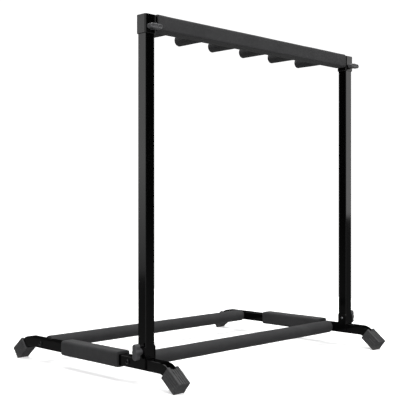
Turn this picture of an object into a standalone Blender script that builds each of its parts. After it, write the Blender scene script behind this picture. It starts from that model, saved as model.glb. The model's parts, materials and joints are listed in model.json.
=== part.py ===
"""Folding five-place guitar rack: square-tube side frames, foam-covered bars, lift-off top rail.

Metres, +Z up. The origin is on the floor, under the middle of the rack. The guitars
lean in from the front, -Y, so +X is the right-hand side of somebody standing there.
"""

from math import acos, cos, pi, radians, sin, sqrt, tan

import bmesh
import bpy
from mathutils import Matrix, Vector

# ---- driving dimensions ---------------------------------------------------------------

TUBE = 0.020                    # width of the square tube in the side rails
UPRIGHT_TUBE = 0.021            # and in the uprights and the top bar
WALL = 0.0015                   # wall of both
TUBE_CORNER = 0.0012            # radius of the corners of the rails
UPRIGHT_CORNER = 0.0009         # and of the uprights and the top bar
BORE_CORNER = 0.0003            # radius of the corners inside every tube
GAP = 0.0003                    # between two pieces that touch or nest

SOCKET_TOP_Z = 0.667            # the foam of the top rail stands a little higher
UPRIGHT_X = 0.3055              # middle of each upright and of each side rail
UPRIGHT_Y = 0.157               # the uprights stand near the rear ends of the rails

# side rails
RAIL_Z = 0.040                  # middle of the level stretch of the rail
BEND_Y = 0.2115                 # where the middle lines of rail and leg would cross
BEND_ANGLE = radians(38.7)      # the rail ends point down by this much
BEND_RADIUS = 0.0255

# rubber boots on the rail ends
BOOT_X = 0.0266
BOOT_Z = 0.0268
BOOT_LENGTH = 0.0402
BOOT_SOCKET = 0.0330            # depth of the hole that takes the rail end
BOOT_CORNER = 0.0016
NOTCH_WIDTH = 0.0140            # notch in the top of the boot's mouth, between two prongs
NOTCH_DEPTH = 0.0055
NOTCH_RADIUS = 0.0044
FLOOR_CUT = (0.1, 0.2, 0.02)    # block below the floor that wears the boots flat

# foam
FOAM_SIZE = 0.0283              # height of the sleeves on the side rails
SIDE_PAD_WIDTH = 0.0318
TOP_FOAM_SIZE = 0.0292          # square sleeve on the top bar
FOAM_CORNER = 0.0045
TOP_FOAM_CORNER = 0.0040
SIDE_PAD_FRONT_Y = -0.081
SIDE_PAD_REAR_Y = 0.0926
FOAM_TUBE_RADIUS = 0.0139       # round sleeves on the cross tubes
FOAM_END_GAP = 0.001            # between those and the side rails

# cross tubes between the side rails
CROSS_Y = {"front": -0.160, "rear": 0.117}
CROSS_RADIUS = 0.008
CROSS_WALL = 0.0012
INSERT_LENGTH = 0.018
THREAD_LENGTH = 0.0144          # how far a screw reaches into its insert
SCREW_RADIUS = 0.0030           # M6 throughout
SCREW_HOLE = 0.0033
SCREW_HEAD_RADIUS = 0.0045
SCREW_HEAD_HEIGHT = 0.0030

# the hinge at the foot of each upright
PIVOT_Z = 0.064
PLATE_THICKNESS = 0.0020
PLATE_FRONT_Y = 0.147
PLATE_REAR_Y = 0.168
PLATE_BOTTOM_Z = 0.0325
PLATE_TOP_Z = 0.0745
PLATE_CORNER = 0.0045
PLUG_GRIP = 0.0045              # how far the end plug reaches up into the upright
PLUG_TOP_Z = 0.0563
PLUG_HEEL_GAP = 0.001           # between the plug and the rail
PLUG_HEEL_DEPTH = 0.0006        # the folding arc of the plug is this much larger than its depth
PLUG_OVERLAP = 0.001            # of the plug's grip and its foot, which are one piece

# hand knobs: a bar-shaped plastic grip on a round collar
KNOB_SPAN = 0.0288
KNOB_WIDTH = 0.0104
KNOB_HEIGHT = 0.0160
KNOB_COLLAR_RADIUS = 0.0062
KNOB_COLLAR_HEIGHT = 0.0050
KNOB_HUB_RADIUS = 0.0072
KNOB_BORE = 0.0100
KNOB_EDGE = 0.0016
KNOB_HUB_EDGE = 0.001
KNOB_HUB_STEP = 0.0005          # the hub ends this much below the grip
KNOB_FLAT = 0.0002              # half the flat left between the grip's round sides
KNOB_STEPS = 24

# top rail
SOCKET_X = 0.0252
SOCKET_Y = 0.0256
SOCKET_HEIGHT = 0.034
SOCKET_CORNER = 0.0016
SOCKET_ROOF = 0.0015
WING_Z = 0.643                  # axis of the wing screws
STUD_RADIUS = 0.0025            # M5 studs in the wing screws
STUD_HOLE = 0.0028
STUD_TIP = 0.0006               # bevel on the end of every stud
TOP_BAR_Z = 0.6543
TOP_FOAM_END = 0.0040           # bare bar between each socket and the foam

# fingers that part the guitar necks
FINGER_COUNT = 6
FINGER_PITCH = 0.0956
FINGER_RADIUS = 0.0115          # foam on the fingers
FINGER_REACH = 0.0738           # foam in front of the top foam
FINGER_CAP = 0.004              # foam in front of the peg's end
PEG_RADIUS = 0.005
PEG_EDGE = 0.001                # bevel on the ends of pegs and finger foam

ROUND_STEPS = 28                # facets of a foam tube
SMALL_STEPS = 16                # facets of a screw

# ---- colours: (red, green, blue), roughness, metallic ------------------------------------

BLACK_STEEL = ((0.012, 0.012, 0.013), 0.28, 0.0)
BLACK_FOAM = ((0.045, 0.045, 0.048), 0.92, 0.0)
BLACK_RUBBER = ((0.050, 0.050, 0.053), 0.75, 0.0)
GREY_PLASTIC = ((0.085, 0.085, 0.090), 0.50, 0.0)
BLACK_PLASTIC = ((0.020, 0.020, 0.021), 0.45, 0.0)
ZINC = ((0.35, 0.35, 0.36), 0.35, 1.0)

SIDES = (("left", -1.0), ("right", 1.0))
ENDS = (("front", -1.0), ("rear", 1.0))


# ---- scene helpers ---------------------------------------------------------------------

def clear_scene():
    for item in list(bpy.data.objects):
        bpy.data.objects.remove(item, do_unlink=True)


def new_collection(name):
    group = bpy.data.collections.new(name)
    bpy.context.scene.collection.children.link(group)
    return group


def make_material(name, finish):
    colour, roughness, metallic = finish
    material = bpy.data.materials.new(name)
    material.use_nodes = True
    shader = material.node_tree.nodes["Principled BSDF"]
    shader.inputs["Base Color"].default_value = (*colour, 1.0)
    shader.inputs["Roughness"].default_value = roughness
    shader.inputs["Metallic"].default_value = metallic
    return material


def place(name, mesh, finish, matrix=None, parent=None):
    """One named sub-part with a material of its own, at a place given in world axes."""
    item = bpy.data.objects.new(name, mesh)
    PARTS.objects.link(item)
    item.data.materials.clear()
    item.data.materials.append(make_material(name, finish))
    item.parent = parent
    if parent is not None:
        item.matrix_parent_inverse = parent.matrix_world.inverted()
    item.matrix_basis = matrix if matrix is not None else Matrix.Identity(4)
    return item


def axis_empty(name, place_at):
    """An empty on a joint's axis, for the pieces that turn or slide together."""
    empty = bpy.data.objects.new(name, None)
    empty.empty_display_size = 0.02
    PARTS.objects.link(empty)
    empty.location = place_at
    bpy.context.view_layer.update()
    return empty


def cut(target, mesh, matrix, label):
    """Take a hole out of a sub-part. The cutter stays in its own hidden collection."""
    tool = bpy.data.objects.new(f"cut_{target.name}_{label}", mesh)
    CUTTERS.objects.link(tool)
    tool.matrix_world = matrix
    tool.hide_render = True
    tool.display_type = "WIRE"
    step = target.modifiers.new(label, "BOOLEAN")
    step.operation = "DIFFERENCE"
    step.solver = "EXACT"
    step.object = tool


def evaluated_mesh(item):
    """The item's mesh with its curve and modifiers worked out, its loose caps welded on."""
    bpy.context.view_layer.update()
    graph = bpy.context.evaluated_depsgraph_get()
    mesh = bpy.data.meshes.new_from_object(item.evaluated_get(graph))
    work = bmesh.new()
    work.from_mesh(mesh)
    bmesh.ops.remove_doubles(work, verts=work.verts, dist=0.000002)
    bmesh.ops.recalc_face_normals(work, faces=work.faces)
    work.to_mesh(mesh)
    work.free()
    bpy.data.objects.remove(item, do_unlink=True)
    return mesh


def smooth(mesh, angle=35):
    mesh.shade_smooth()
    mesh.set_sharp_from_angle(angle=radians(angle))
    return mesh


# ---- outlines and shapes ----------------------------------------------------------------

def circle(radius, steps, centre=(0.0, 0.0)):
    turn = 2 * pi / steps
    return [(centre[0] + radius * cos(i * turn), centre[1] + radius * sin(i * turn)) for i in range(steps)]


def arc(centre, radius, start, end, steps):
    """Points from angle start to angle end, both in degrees."""
    angles = [radians(start + (end - start) * i / steps) for i in range(steps + 1)]
    return [(centre[0] + radius * cos(a), centre[1] + radius * sin(a)) for a in angles]


def rounded_box(width, height, radius, steps=3, centre=(0.0, 0.0)):
    x, y = width / 2 - radius, height / 2 - radius
    points = []
    for number, (sx, sy) in enumerate(((1, 1), (-1, 1), (-1, -1), (1, -1))):
        corner = (centre[0] + sx * x, centre[1] + sy * y)
        points += arc(corner, radius, 90 * number, 90 * number + 90, steps)
    return points


def flat_curve(outlines):
    curve = bpy.data.curves.new("outline", "CURVE")
    curve.dimensions = "2D"
    curve.fill_mode = "BOTH"
    for points in outlines:
        spline = curve.splines.new("POLY")
        spline.points.add(len(points) - 1)
        for knot, (x, y) in zip(spline.points, points):
            knot.co = (x, y, 0.0, 1.0)
        spline.use_cyclic_u = True
    return curve


def prism(outlines, length):
    """Outlines (the first one outside, the others holes) extruded along Z about the middle."""
    curve = flat_curve(outlines)
    curve.extrude = length / 2
    item = bpy.data.objects.new("prism", curve)
    bpy.context.scene.collection.objects.link(item)
    return smooth(evaluated_mesh(item))


def turned(profile, steps):
    """A profile of (radius, z) points, top to bottom, turned about Z."""
    mesh = bpy.data.meshes.new("profile")
    edges = [(i, i + 1) for i in range(len(profile) - 1)]
    mesh.from_pydata([(r, 0.0, z) for r, z in profile], edges, [])
    item = bpy.data.objects.new("turned", mesh)
    bpy.context.scene.collection.objects.link(item)
    screw = item.modifiers.new("turn", "SCREW")
    screw.axis = "Z"
    screw.angle = 2 * pi
    screw.steps = steps
    screw.render_steps = steps
    screw.use_merge_vertices = True
    screw.merge_threshold = 0.00001
    return smooth(evaluated_mesh(item))


def box(size, centre):
    mesh = bpy.data.meshes.new("box")
    work = bmesh.new()
    bmesh.ops.create_cube(work, size=1.0)
    bmesh.ops.scale(work, vec=size, verts=work.verts)
    bmesh.ops.translate(work, vec=centre, verts=work.verts)
    work.to_mesh(mesh)
    work.free()
    return mesh


def rod_cutter(radius, length):
    mesh = bpy.data.meshes.new("rod_cutter")
    work = bmesh.new()
    bmesh.ops.create_cone(work, cap_ends=True, segments=SMALL_STEPS, radius1=radius, radius2=radius, depth=length)
    work.to_mesh(mesh)
    work.free()
    return mesh


def upright_tube_outlines():
    """Section of the tube in the uprights and the top bar."""
    size = UPRIGHT_TUBE
    inner = size - 2 * WALL
    return [rounded_box(size, size, UPRIGHT_CORNER), rounded_box(inner, inner, BORE_CORNER)]


def along_x(position, direction=1.0):
    """Turns a shape's Z axis to +X or -X. Its X axis then points up."""
    turn = Matrix(((0, 0, direction), (0, -direction, 0), (1, 0, 0))).to_4x4()
    return Matrix.Translation(position) @ turn


def along_y(position, direction=1.0):
    """Turns a shape's Z axis to +Y or -Y. Its X axis stays on X."""
    turn = Matrix(((1, 0, 0), (0, 0, direction), (0, -direction, 0))).to_4x4()
    return Matrix.Translation(position) @ turn


# ---- base -------------------------------------------------------------------------------

def rail_path():
    """Middle line of a side rail in its own plane, as (y, z) points from front to rear."""
    tangent = BEND_RADIUS * tan(BEND_ANGLE / 2)
    reach = tangent + BOOT_SOCKET - GAP
    steps = 6
    half = [(BEND_Y - tangent + BEND_RADIUS * sin(a), RAIL_Z - BEND_RADIUS * (1 - cos(a)))
            for a in (BEND_ANGLE * i / steps for i in range(steps + 1))]
    half.append((BEND_Y + reach * cos(BEND_ANGLE), RAIL_Z - reach * sin(BEND_ANGLE)))
    return [(-y, z) for y, z in reversed(half)] + half


def side_rail_mesh():
    """Square section swept along the rail, then given its wall inwards."""
    section = bpy.data.objects.new("section", flat_curve([rounded_box(TUBE, TUBE, TUBE_CORNER, 2)]))
    section.data.fill_mode = "NONE"
    bpy.context.scene.collection.objects.link(section)
    curve = bpy.data.curves.new("rail", "CURVE")
    curve.dimensions = "3D"
    curve.twist_mode = "Z_UP"
    curve.bevel_mode = "OBJECT"
    curve.bevel_object = section
    points = rail_path()
    spline = curve.splines.new("POLY")
    spline.points.add(len(points) - 1)
    for knot, (y, z) in zip(spline.points, points):
        knot.co = (0.0, y, z, 1.0)
    item = bpy.data.objects.new("rail", curve)
    bpy.context.scene.collection.objects.link(item)
    skin = evaluated_mesh(item)
    bpy.data.objects.remove(section, do_unlink=True)
    item = bpy.data.objects.new("rail_wall", skin)
    bpy.context.scene.collection.objects.link(item)
    wall = item.modifiers.new("wall", "SOLIDIFY")
    wall.thickness = WALL
    wall.offset = -1.0
    wall.use_even_offset = True
    return smooth(evaluated_mesh(item))


def build_side_rails():
    mesh = side_rail_mesh()
    for side, sign in SIDES:
        rail = place(f"side_rail_{side}", mesh.copy(), BLACK_STEEL, Matrix.Translation((sign * UPRIGHT_X, 0, 0)))
        for end, y in CROSS_Y.items():
            hole = along_x((sign * UPRIGHT_X, y, RAIL_Z))
            cut(rail, rod_cutter(SCREW_HOLE, 2 * TUBE), hole, f"{end}_screw_hole")


def boot_matrix(sign_x, sign_y):
    """Boot axes: Z runs down the rail end from the boot's mouth, X stays along the rack."""
    tangent = BEND_RADIUS * tan(BEND_ANGLE / 2)
    mouth = Vector((0, BEND_Y + tangent * cos(BEND_ANGLE), RAIL_Z - tangent * sin(BEND_ANGLE)))
    lean = Matrix.Rotation(-(pi / 2 + BEND_ANGLE), 4, "X")
    face = Matrix.Identity(4) if sign_y > 0 else Matrix.Rotation(pi, 4, "Z")
    return Matrix.Translation((sign_x * UPRIGHT_X, 0, 0)) @ face @ Matrix.Translation(mouth) @ lean


def notch_cutter():
    """Round-bottomed notch through the boot's top wall, which lies towards -Y in boot axes."""
    half = NOTCH_WIDTH / 2
    low = NOTCH_DEPTH - NOTCH_RADIUS
    outline = [(-half, -BOOT_Z), (half, -BOOT_Z)]
    outline += arc((half - NOTCH_RADIUS, low), NOTCH_RADIUS, 0, 90, 5)
    outline += arc((NOTCH_RADIUS - half, low), NOTCH_RADIUS, 90, 180, 5)
    cutter = prism([outline], BOOT_Z)
    turn = Matrix(((1, 0, 0), (0, 0, -1), (0, 1, 0))).to_4x4()
    cutter.transform(Matrix.Translation((0, -BOOT_Z / 2 - TUBE / 4, 0)) @ turn)
    return cutter


def build_foot_boots():
    """Rubber boots. Each stands on the lower edge of its closed end, worn to a flat strip."""
    mouth_size = TUBE + 2 * GAP
    for end, sign_y in ENDS:
        for side, sign_x in SIDES:
            block = prism([rounded_box(BOOT_X, BOOT_Z, BOOT_CORNER)], BOOT_LENGTH)
            block.transform(Matrix.Translation((0, 0, BOOT_LENGTH / 2)))
            matrix = boot_matrix(sign_x, sign_y)
            boot = place(f"foot_boot_{end}_{side}", block, BLACK_RUBBER, matrix)
            depth = 2 * BOOT_SOCKET
            mouth = prism([rounded_box(mouth_size, mouth_size, TUBE_CORNER, 2)], depth)
            cut(boot, mouth, matrix, "mouth")
            cut(boot, notch_cutter(), matrix, "notch")
            floor = box(FLOOR_CUT, (sign_x * UPRIGHT_X, sign_y * BEND_Y, -FLOOR_CUT[2] / 2))
            cut(boot, floor, Matrix.Identity(4), "floor")


def build_side_pads():
    hole = TUBE + 2 * GAP
    outlines = [rounded_box(SIDE_PAD_WIDTH, FOAM_SIZE, FOAM_CORNER), rounded_box(hole, hole, TUBE_CORNER)]
    middle = (SIDE_PAD_FRONT_Y + SIDE_PAD_REAR_Y) / 2
    for side, sign in SIDES:
        pad = prism(outlines, SIDE_PAD_REAR_Y - SIDE_PAD_FRONT_Y)
        place(f"side_pad_{side}", pad, BLACK_FOAM, along_y((sign * UPRIGHT_X, middle, RAIL_Z)))


def build_cross_bars():
    """Steel tubes with foam round them, threaded inserts in their ends, screws through the rails."""
    inner_face = UPRIGHT_X - TUBE / 2
    outer_face = UPRIGHT_X + TUBE / 2
    bore = CROSS_RADIUS - CROSS_WALL
    insert_end = inner_face - GAP
    for end, y in CROSS_Y.items():
        tube = prism([circle(CROSS_RADIUS, ROUND_STEPS), circle(bore, ROUND_STEPS)], 2 * (inner_face - GAP))
        place(f"cross_tube_{end}", tube, BLACK_STEEL, along_x((0, y, RAIL_Z)))
        foam_outlines = [circle(FOAM_TUBE_RADIUS, ROUND_STEPS), circle(CROSS_RADIUS + GAP, ROUND_STEPS)]
        foam = prism(foam_outlines, 2 * (inner_face - FOAM_END_GAP))
        place(f"cross_foam_{end}", foam, BLACK_FOAM, along_x((0, y, RAIL_Z)))
        for side, sign in SIDES:
            ring = prism([circle(bore - GAP, SMALL_STEPS), circle(SCREW_HOLE, SMALL_STEPS)], INSERT_LENGTH)
            middle = sign * (insert_end - INSERT_LENGTH / 2)
            place(f"tube_insert_{end}_{side}", ring, ZINC, along_x((middle, y, RAIL_Z)))
            shank = TUBE + 2 * GAP + THREAD_LENGTH
            profile = [(0, SCREW_HEAD_HEIGHT), (0.6 * SCREW_HEAD_RADIUS, SCREW_HEAD_HEIGHT),
                       (SCREW_HEAD_RADIUS, 0.4 * SCREW_HEAD_HEIGHT), (SCREW_HEAD_RADIUS, 0),
                       (SCREW_RADIUS, 0), (SCREW_RADIUS, -shank), (0, -shank)]
            seat = along_x((sign * (outer_face + GAP), y, RAIL_Z), sign)
            place(f"cross_screw_{end}_{side}", turned(profile, SMALL_STEPS), BLACK_STEEL, seat)


def plate_outline():
    """Hinge plate seen from the side, in (z, y): square at the foot, rounded at the top."""
    front, rear = PLATE_FRONT_Y, PLATE_REAR_Y
    top, r = PLATE_TOP_Z, PLATE_CORNER
    points = [(PLATE_BOTTOM_Z, front), (PLATE_BOTTOM_Z, rear)]
    points += arc((top - r, rear - r), r, 90, 0, 4)
    points += arc((top - r, front + r), r, 0, -90, 4)
    return points


def build_hinge_plates():
    """Two plates on each rail. The uprights turn between them."""
    for side, sign in SIDES:
        for place_name, step in (("inner", -1.0), ("outer", 1.0)):
            outline = [(z - PIVOT_Z, UPRIGHT_Y - y) for z, y in plate_outline()]
            plate = prism([outline, circle(SCREW_HOLE, SMALL_STEPS)], PLATE_THICKNESS)
            x = sign * UPRIGHT_X + sign * step * (UPRIGHT_TUBE / 2 + GAP + PLATE_THICKNESS / 2)
            place(f"hinge_plate_{place_name}_{side}", plate, BLACK_STEEL, along_x((x, UPRIGHT_Y, PIVOT_Z)))


# ---- hand knobs ---------------------------------------------------------------------------

def knob_mesh(bore_radius):
    """Bar grip on a hub and collar. Z points away from the face that it clamps."""
    bar_low = KNOB_COLLAR_HEIGHT
    bar = prism([rounded_box(KNOB_SPAN, KNOB_WIDTH, KNOB_WIDTH / 2 - KNOB_FLAT, 6)], KNOB_HEIGHT - bar_low)
    bar.transform(Matrix.Translation((0, 0, (KNOB_HEIGHT + bar_low) / 2)))
    item = bpy.data.objects.new("knob", bar)
    bpy.context.scene.collection.objects.link(item)
    edge = item.modifiers.new("edge", "BEVEL")
    edge.width = KNOB_EDGE
    edge.segments = 2
    edge.limit_method = "ANGLE"
    edge.angle_limit = radians(50)
    hub_top = KNOB_HEIGHT - KNOB_HUB_STEP
    hub = turned([(0, hub_top), (KNOB_HUB_RADIUS - KNOB_HUB_EDGE, hub_top), (KNOB_HUB_RADIUS, hub_top - KNOB_HUB_EDGE),
                  (KNOB_COLLAR_RADIUS, 0), (0, 0)], KNOB_STEPS)
    tool = bpy.data.objects.new("cut_knob_hub", hub)
    bpy.context.scene.collection.objects.link(tool)
    join = item.modifiers.new("hub", "BOOLEAN")
    join.operation = "UNION"
    join.object = tool
    bore = bpy.data.objects.new("cut_knob_bore", rod_cutter(bore_radius, 2 * KNOB_BORE))
    bpy.context.scene.collection.objects.link(bore)
    drill = item.modifiers.new("bore", "BOOLEAN")
    drill.operation = "DIFFERENCE"
    drill.object = bore
    mesh = evaluated_mesh(item)
    for helper in (tool, bore):
        bpy.data.objects.remove(helper, do_unlink=True)
    return smooth(mesh)


def stud_mesh(radius, reach):
    """Threaded stud: from inside the knob's bore to reach below the knob's foot."""
    top = KNOB_BORE - GAP
    profile = [(0, top), (radius, top), (radius, STUD_TIP - reach), (radius - STUD_TIP, -reach), (0, -reach)]
    return turned(profile, SMALL_STEPS)


def build_clamp_knobs():
    """The clamp stud is the upright's pivot: it goes through both plates and the upright."""
    face = UPRIGHT_X + UPRIGHT_TUBE / 2 + GAP + PLATE_THICKNESS + GAP
    reach = UPRIGHT_TUBE + 2 * PLATE_THICKNESS + 3 * GAP
    for side, sign in SIDES:
        seat = along_x((sign * face, UPRIGHT_Y, PIVOT_Z), sign)
        parent = axis_empty(f"clamp_axis_{side}", seat.translation)
        knob = knob_mesh(SCREW_HOLE)
        place(f"clamp_knob_{side}", knob, GREY_PLASTIC, seat, parent)
        place(f"clamp_stud_{side}", stud_mesh(SCREW_RADIUS, reach), ZINC, seat, parent)


def build_wing_screws(top_rail):
    """They lock the sockets of the top rail on the uprights."""
    face = UPRIGHT_Y + SOCKET_Y / 2 + GAP
    reach = face - (UPRIGHT_Y + UPRIGHT_TUBE / 2) - GAP
    for side, sign in SIDES:
        seat = along_y((sign * UPRIGHT_X, face, WING_Z))
        place(f"wing_knob_{side}", knob_mesh(STUD_HOLE), GREY_PLASTIC, seat, top_rail)
        place(f"wing_stud_{side}", stud_mesh(STUD_RADIUS, reach), ZINC, seat, top_rail)


# ---- uprights -------------------------------------------------------------------------------

def plug_outline():
    """End plug seen from the side, in (z, y) about the pivot.

    The front corner follows an arc about the pivot, so the upright folds forward over
    the rail. The rear corner is square: it is the heel that stops the upright upright.
    """
    bottom = -(PIVOT_Z - RAIL_Z - TUBE / 2 - PLUG_HEEL_GAP)
    top = PLUG_TOP_Z - PIVOT_Z
    half = UPRIGHT_TUBE / 2
    radius = -bottom + PLUG_HEEL_DEPTH
    start = acos(-bottom / radius)
    end = acos(sqrt(radius ** 2 - half ** 2) / radius)
    steps = 6
    angles = [start + (end - start) * i / steps for i in range(steps + 1)]
    curve = [(-radius * cos(a), -radius * sin(a)) for a in angles]
    return [(bottom, half), *curve, (top, -half), (top, half)]


def build_uprights(fold_axis):
    tube_bottom = PLUG_TOP_Z + GAP
    tube_top = SOCKET_TOP_Z - SOCKET_ROOF - GAP
    inside = UPRIGHT_TUBE - 2 * WALL - 2 * GAP
    for side, sign in SIDES:
        x = sign * UPRIGHT_X
        tube = prism(upright_tube_outlines(), tube_top - tube_bottom)
        middle = Matrix.Translation((x, UPRIGHT_Y, (tube_top + tube_bottom) / 2))
        upright = place(f"upright_{side}", tube, BLACK_STEEL, middle, fold_axis)
        cut(upright, rod_cutter(SCREW_HOLE, 2 * TUBE), along_x((x, UPRIGHT_Y, PIVOT_Z)), "pivot_hole")
        foot = prism([[(z, -y) for z, y in plug_outline()]], UPRIGHT_TUBE - 2 * GAP)
        grip = prism([rounded_box(inside, inside, BORE_CORNER, 1)], PLUG_GRIP + PLUG_OVERLAP)
        plug = place(f"upright_plug_{side}", foot, BLACK_PLASTIC, along_x((x, UPRIGHT_Y, PIVOT_Z)), fold_axis)
        join_stem(plug, grip, Matrix.Translation((x, UPRIGHT_Y, PLUG_TOP_Z + (PLUG_GRIP - PLUG_OVERLAP) / 2)))


def join_stem(plug, mesh, matrix):
    stem = bpy.data.objects.new(f"cut_{plug.name}_stem", mesh)
    CUTTERS.objects.link(stem)
    stem.matrix_world = matrix
    stem.hide_render = True
    stem.display_type = "WIRE"
    union = plug.modifiers.new("stem", "BOOLEAN")
    union.operation = "UNION"
    union.solver = "EXACT"
    union.object = stem


# ---- top rail ---------------------------------------------------------------------------------

def build_sockets(top_rail):
    """Square caps, closed on top, that slip over the uprights."""
    hole = UPRIGHT_TUBE + 2 * GAP
    middle_z = SOCKET_TOP_Z - SOCKET_HEIGHT / 2
    for side, sign in SIDES:
        x = sign * UPRIGHT_X
        block = prism([rounded_box(SOCKET_X, SOCKET_Y, SOCKET_CORNER)], SOCKET_HEIGHT)
        at = Matrix.Translation((x, UPRIGHT_Y, middle_z))
        socket = place(f"top_socket_{side}", block, BLACK_STEEL, at, top_rail)
        depth = 2 * (SOCKET_HEIGHT - SOCKET_ROOF)
        hollow = prism([rounded_box(hole, hole, UPRIGHT_CORNER)], depth)
        cut(socket, hollow, Matrix.Translation((x, UPRIGHT_Y, SOCKET_TOP_Z - SOCKET_HEIGHT)), "hollow")
        rear_hole = along_y((x, UPRIGHT_Y + SOCKET_Y / 2, WING_Z))
        cut(socket, rod_cutter(STUD_HOLE, UPRIGHT_TUBE / 2), rear_hole, "stud_hole")


def build_top_bar(top_rail):
    bar_half = UPRIGHT_X - SOCKET_X / 2 - GAP
    foam_half = UPRIGHT_X - SOCKET_X / 2 - TOP_FOAM_END
    at = along_x((0, UPRIGHT_Y, TOP_BAR_Z))
    place("top_bar", prism(upright_tube_outlines(), 2 * bar_half), BLACK_STEEL, at, top_rail)
    hole = UPRIGHT_TUBE + 2 * GAP
    skin = rounded_box(TOP_FOAM_SIZE, TOP_FOAM_SIZE, TOP_FOAM_CORNER)
    outlines = [skin, rounded_box(hole, hole, UPRIGHT_CORNER)]
    foam = place("top_foam", prism(outlines, 2 * foam_half), BLACK_FOAM, at, top_rail)
    for number, x in enumerate(finger_places(), start=1):
        slit = along_y((x, UPRIGHT_Y - UPRIGHT_TUBE / 2, TOP_BAR_Z), -1.0)
        cut(foam, rod_cutter(PEG_RADIUS + GAP, UPRIGHT_TUBE), slit, f"peg_hole_{number}")


def finger_places():
    return [(i - (FINGER_COUNT - 1) / 2) * FINGER_PITCH for i in range(FINGER_COUNT)]


def build_fingers(top_rail):
    """Steel pegs welded to the top bar, each in its own round foam sleeve with a closed end."""
    bar_face = UPRIGHT_Y - UPRIGHT_TUBE / 2
    foam_face = UPRIGHT_Y - TOP_FOAM_SIZE / 2
    foam_length = FINGER_REACH - GAP
    peg_length = (bar_face - foam_face) + FINGER_REACH - FINGER_CAP - GAP
    bore = PEG_RADIUS + GAP
    edge = PEG_EDGE
    for number, x in enumerate(finger_places(), start=1):
        peg = turned([(0, peg_length), (PEG_RADIUS - edge, peg_length), (PEG_RADIUS, peg_length - edge),
                      (PEG_RADIUS, 0), (0, 0)], SMALL_STEPS)
        root = along_y((x, bar_face - GAP, TOP_BAR_Z), -1.0)
        place(f"finger_peg_{number}", peg, BLACK_STEEL, root, top_rail)
        radius = FINGER_RADIUS
        sleeve = turned([(0, foam_length), (radius - edge, foam_length), (radius, foam_length - edge),
                         (radius, 0), (bore, 0), (bore, foam_length - FINGER_CAP + GAP),
                         (0, foam_length - FINGER_CAP + GAP)], ROUND_STEPS)
        seat = along_y((x, foam_face - GAP, TOP_BAR_Z), -1.0)
        place(f"finger_foam_{number}", sleeve, BLACK_FOAM, seat, top_rail)


# ---- assembly -----------------------------------------------------------------------------------

def build():
    build_side_rails()
    build_foot_boots()
    build_side_pads()
    build_cross_bars()
    build_hinge_plates()
    build_clamp_knobs()
    fold_axis = axis_empty("fold_axis", (0, UPRIGHT_Y, PIVOT_Z))
    build_uprights(fold_axis)
    top_rail = axis_empty("top_rail_slide", (0, UPRIGHT_Y, SOCKET_TOP_Z - SOCKET_HEIGHT))
    build_sockets(top_rail)
    build_top_bar(top_rail)
    build_fingers(top_rail)
    build_wing_screws(top_rail)


clear_scene()
PARTS = new_collection("guitar_rack")
CUTTERS = new_collection("cutters")
build()
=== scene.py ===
"""Looks of the folding guitar rack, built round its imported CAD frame.

Metres, +Z up, in the CAD's own frame. Steel parts keep their CAD shape with welded
facets and rounded shading. Sockets, foam, boots, knobs and screws are modelled again in full.
"""

import json
from math import cos, hypot, pi, radians, sin, tan

import bmesh
import bpy
from mathutils import Matrix, Vector, noise

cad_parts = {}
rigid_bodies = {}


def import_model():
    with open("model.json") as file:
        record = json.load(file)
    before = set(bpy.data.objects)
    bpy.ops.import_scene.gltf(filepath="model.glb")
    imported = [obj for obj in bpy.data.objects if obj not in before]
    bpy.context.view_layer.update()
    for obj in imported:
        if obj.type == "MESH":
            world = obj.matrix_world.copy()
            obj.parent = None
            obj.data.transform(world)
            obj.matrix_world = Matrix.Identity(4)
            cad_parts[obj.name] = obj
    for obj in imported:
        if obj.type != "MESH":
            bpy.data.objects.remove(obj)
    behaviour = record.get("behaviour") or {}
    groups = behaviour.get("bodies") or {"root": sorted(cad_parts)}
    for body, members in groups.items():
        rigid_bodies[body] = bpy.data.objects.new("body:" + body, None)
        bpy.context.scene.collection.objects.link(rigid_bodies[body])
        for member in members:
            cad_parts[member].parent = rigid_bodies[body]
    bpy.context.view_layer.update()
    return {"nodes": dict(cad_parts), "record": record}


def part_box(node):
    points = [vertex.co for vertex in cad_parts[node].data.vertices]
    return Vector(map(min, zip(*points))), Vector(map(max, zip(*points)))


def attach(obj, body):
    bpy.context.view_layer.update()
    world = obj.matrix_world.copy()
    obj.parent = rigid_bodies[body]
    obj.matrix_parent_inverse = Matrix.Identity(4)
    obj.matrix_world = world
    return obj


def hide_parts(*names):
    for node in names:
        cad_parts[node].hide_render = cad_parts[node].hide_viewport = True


for leftover in list(bpy.data.objects):
    bpy.data.objects.remove(leftover, do_unlink=True)
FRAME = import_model()

# ---- dimensions repeated from the CAD source --------------------------------------------

TUBE = 0.020
TUBE_CORNER = 0.0012
UPRIGHT_TUBE = 0.021
UPRIGHT_CORNER = 0.0009
GAP = 0.0003
UPRIGHT_X = 0.3055
RAIL_Z = 0.040
BEND_Y = 0.2115
BEND_ANGLE = radians(38.7)
BEND_RADIUS = 0.0255
BOOT_X = 0.0266
BOOT_Z = 0.0268
BOOT_LENGTH = 0.0402
BOOT_SOCKET = 0.0330
BOOT_CORNER = 0.0016
NOTCH_WIDTH = 0.0140
NOTCH_DEPTH = 0.0055
SIDE_PAD_WIDTH = 0.0318
FOAM_CORNER = 0.0045
TOP_FOAM_SIZE = 0.0292
TOP_FOAM_CORNER = 0.0040
PEG_RADIUS = 0.005
KNOB_SPAN = 0.0288
KNOB_WIDTH = 0.0104
KNOB_HEIGHT = 0.0160
KNOB_COLLAR = 0.0050
KNOB_BORE = 0.0100
SOCKET_ROOF = 0.0015
STUD_HOLE = 0.0028
CLAMP_HOLE = 0.0033
CROSS_TUBE_HOLE = 0.0083
SCREW_HEAD_RADIUS = 0.0045
SCREW_HEAD_HEIGHT = 0.0030

# ---- dimensions that the CAD source has otherwise -----------------------------------------

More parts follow.
